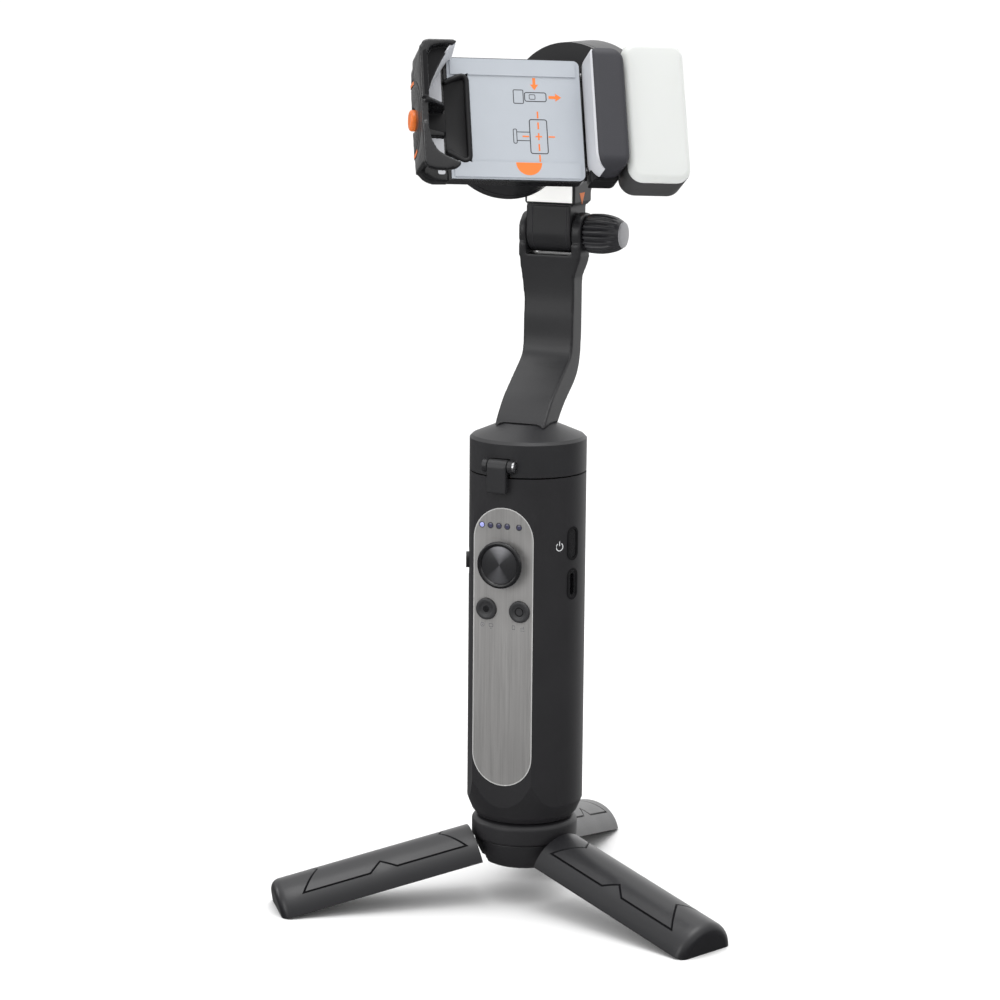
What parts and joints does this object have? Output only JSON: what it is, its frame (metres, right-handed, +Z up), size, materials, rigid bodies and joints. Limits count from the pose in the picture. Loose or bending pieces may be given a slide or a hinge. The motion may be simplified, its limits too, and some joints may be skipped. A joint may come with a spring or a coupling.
{
  "type": "smartphone gimbal stabiliser",
  "caption": "Folding handheld phone stabiliser with spring clamp, clip-on lamp, motorised pan, tilt and roll joints, front controls and a folding tripod stand.",
  "frame": {"origin": "on the pan axis, level with the feet of the open stand", "axes": "+Z up, the control panel faces -Y, the folding knob is on +X"},
  "size_m": [0.1623, 0.1521, 0.2968],
  "materials": {
    "shell": "fine grain, satin",
    "arm": "satin",
    "gloss_black": "gloss",
    "panel": "brushed",
    "steel": "satin",
    "copper": "wound",
    "board": "solder mask",
    "cell": "film sleeve",
    "rubber": "matt",
    "plate": "satin pale grey",
    "pad": "padded cover",
    "accent": "satin orange",
    "lens": "lit lens",
    "diffuser": "opal",
    "paper": "paper label"
  },
  "bodies": {
    "stand": {"handle_front_shell": "shell", "handle_rear_shell": "shell", "shell_screws": "steel", "control_panel": "panel", "led_lenses": "lens", "joystick_base": "gloss_black", "usb_socket": "steel", "battery_cell": "cell", "main_board": "board", "pan_deck": "shell", "pan_stator": "copper", "pan_bearing": "steel", "base_plug": "shell", "tripod_screw": "steel", "tripod_ring": "shell", "tripod_hub": "shell", "leg_pins": "steel"},
    "record_key": {"record_button": "gloss_black"},
    "mode_key": {"mode_button": "gloss_black"},
    "power_key": {"power_button": "gloss_black"},
    "zoom_key": {"zoom_slider": "gloss_black"},
    "stick_cross": {"joystick_cradle": "gloss_black"},
    "stick": {"joystick_stem": "gloss_black", "joystick_cap": "gloss_black"},
    "leg_a": {"leg_1": "shell", "foot_pad_1": "rubber"},
    "leg_b": {"leg_2": "shell", "foot_pad_2": "rubber"},
    "leg_c": {"leg_3": "shell", "foot_pad_3": "rubber"},
    "pan": {"pan_housing": "shell", "pan_rotor": "steel", "lower_arm": "arm", "catch_pin": "steel", "fold_bolt": "steel"},
    "catch": {"lock_catch": "gloss_black"},
    "knob": {"fold_knob": "gloss_black", "knob_cap": "panel"},
    "fold": {"upper_arm": "arm", "arm_label": "paper", "tilt_housing": "arm", "tilt_stator": "copper", "tilt_bearing": "steel"},
    "tilt": {"tilt_rotor": "arm", "swing_arm": "arm", "roll_housing": "arm", "roll_stator": "copper", "roll_bearing": "steel"},
    "clamp": {"roll_rotor": "arm", "clamp_frame": "arm", "phone_plate": "plate", "fixed_jaw": "gloss_black", "jaw_cradle": "gloss_black", "accent_ring": "accent"},
    "release": {"release_button": "gloss_black"},
    "jaw": {"moving_jaw": "pad", "jaw_liner": "plate", "guide_rods": "steel", "lamp_case": "gloss_black", "lamp_diffuser": "diffuser"}
  },
  "joints": [
    {"name": "leg_a_fold", "type": "hinge", "parent": "stand", "child": "leg_a", "pos_m": [-0.00873, -0.0067, 0.01939], "axis": [0.6088, -0.7934, 0], "range_deg": [0, 77]},
    {"name": "leg_b_fold", "type": "hinge", "parent": "stand", "child": "leg_b", "pos_m": [0.01016, -0.00421, 0.01939], "axis": [0.3827, 0.9239, 0], "range_deg": [0, 77]},
    {"name": "leg_c_fold", "type": "hinge", "parent": "stand", "child": "leg_c", "pos_m": [-0.00144, 0.01091, 0.01939], "axis": [-0.9914, -0.1305, 0], "range_deg": [0, 77]},
    {"name": "pan_turn", "type": "hinge", "parent": "stand", "child": "pan", "pos_m": [0, 0, 0.1506], "axis": [0, 0, 1], "range_deg": [-160, 160]},
    {"name": "fold_hinge", "type": "hinge", "parent": "pan", "child": "fold", "pos_m": [0, 0.022, 0.23], "axis": [-1, 0, 0], "range_deg": [0, 90]},
    {"name": "tilt_turn", "type": "hinge", "parent": "fold", "child": "tilt", "pos_m": [0, 0.031, 0.272], "axis": [0, 1, 0], "range_deg": [-120, 25]},
    {"name": "roll_turn", "type": "hinge", "parent": "tilt", "child": "clamp", "pos_m": [0, -0.012, 0.2702], "axis": [0.5502, -0.7275, 0.4099], "range_deg": [-150, 150]},
    {"name": "jaw_slide", "type": "slide", "parent": "clamp", "child": "jaw", "axis": [0.8053, 0.592, -0.0302], "range_m": [0, 0.03], "stiffness_N_per_m": 260, "springref_m": -0.02},
    {"name": "release_press", "type": "slide", "parent": "clamp", "child": "release", "axis": [0.8053, 0.592, -0.0302], "range_m": [0, 0.0009], "stiffness_N_per_m": 400, "springref_m": -0.0008},
    {"name": "knob_turn", "type": "hinge", "parent": "pan", "child": "knob", "pos_m": [0.018, 0.022, 0.23], "axis": [1, 0, 0], "range_deg": [-180, 180]},
    {"name": "catch_swing", "type": "hinge", "parent": "pan", "child": "catch", "pos_m": [-0.0017, -0.0207, 0.1548], "axis": [-1, 0, 0], "range_deg": [0, 90]},
    {"name": "record_press", "type": "slide", "parent": "stand", "child": "record_key", "axis": [0, 1, 0], "range_m": [0, 0.0008], "stiffness_N_per_m": 400, "springref_m": -0.0008},
    {"name": "mode_press", "type": "slide", "parent": "stand", "child": "mode_key", "axis": [0, 1, 0], "range_m": [0, 0.0008], "stiffness_N_per_m": 400, "springref_m": -0.0008},
    {"name": "power_press", "type": "slide", "parent": "stand", "child": "power_key", "axis": [-0.9613, 0.2756, 0], "range_m": [0, 0.0006], "stiffness_N_per_m": 400, "springref_m": -0.0008},
    {"name": "zoom_slide", "type": "slide", "parent": "stand", "child": "zoom_key", "axis": [0, 0, 1], "range_m": [-0.002, 0.002], "stiffness_N_per_m": 250},
    {"name": "stick_lean", "type": "hinge", "parent": "stand", "child": "stick_cross", "pos_m": [0, -0.0134, 0.1216], "axis": [1, 0, 0], "range_deg": [-10, 10], "stiffness_Nm_per_rad": 0.05},
    {"name": "stick_sway", "type": "hinge", "parent": "stick_cross", "child": "stick", "pos_m": [0, -0.0134, 0.1216], "axis": [0, 0, 1], "range_deg": [-10, 10], "stiffness_Nm_per_rad": 0.05}
  ]
}
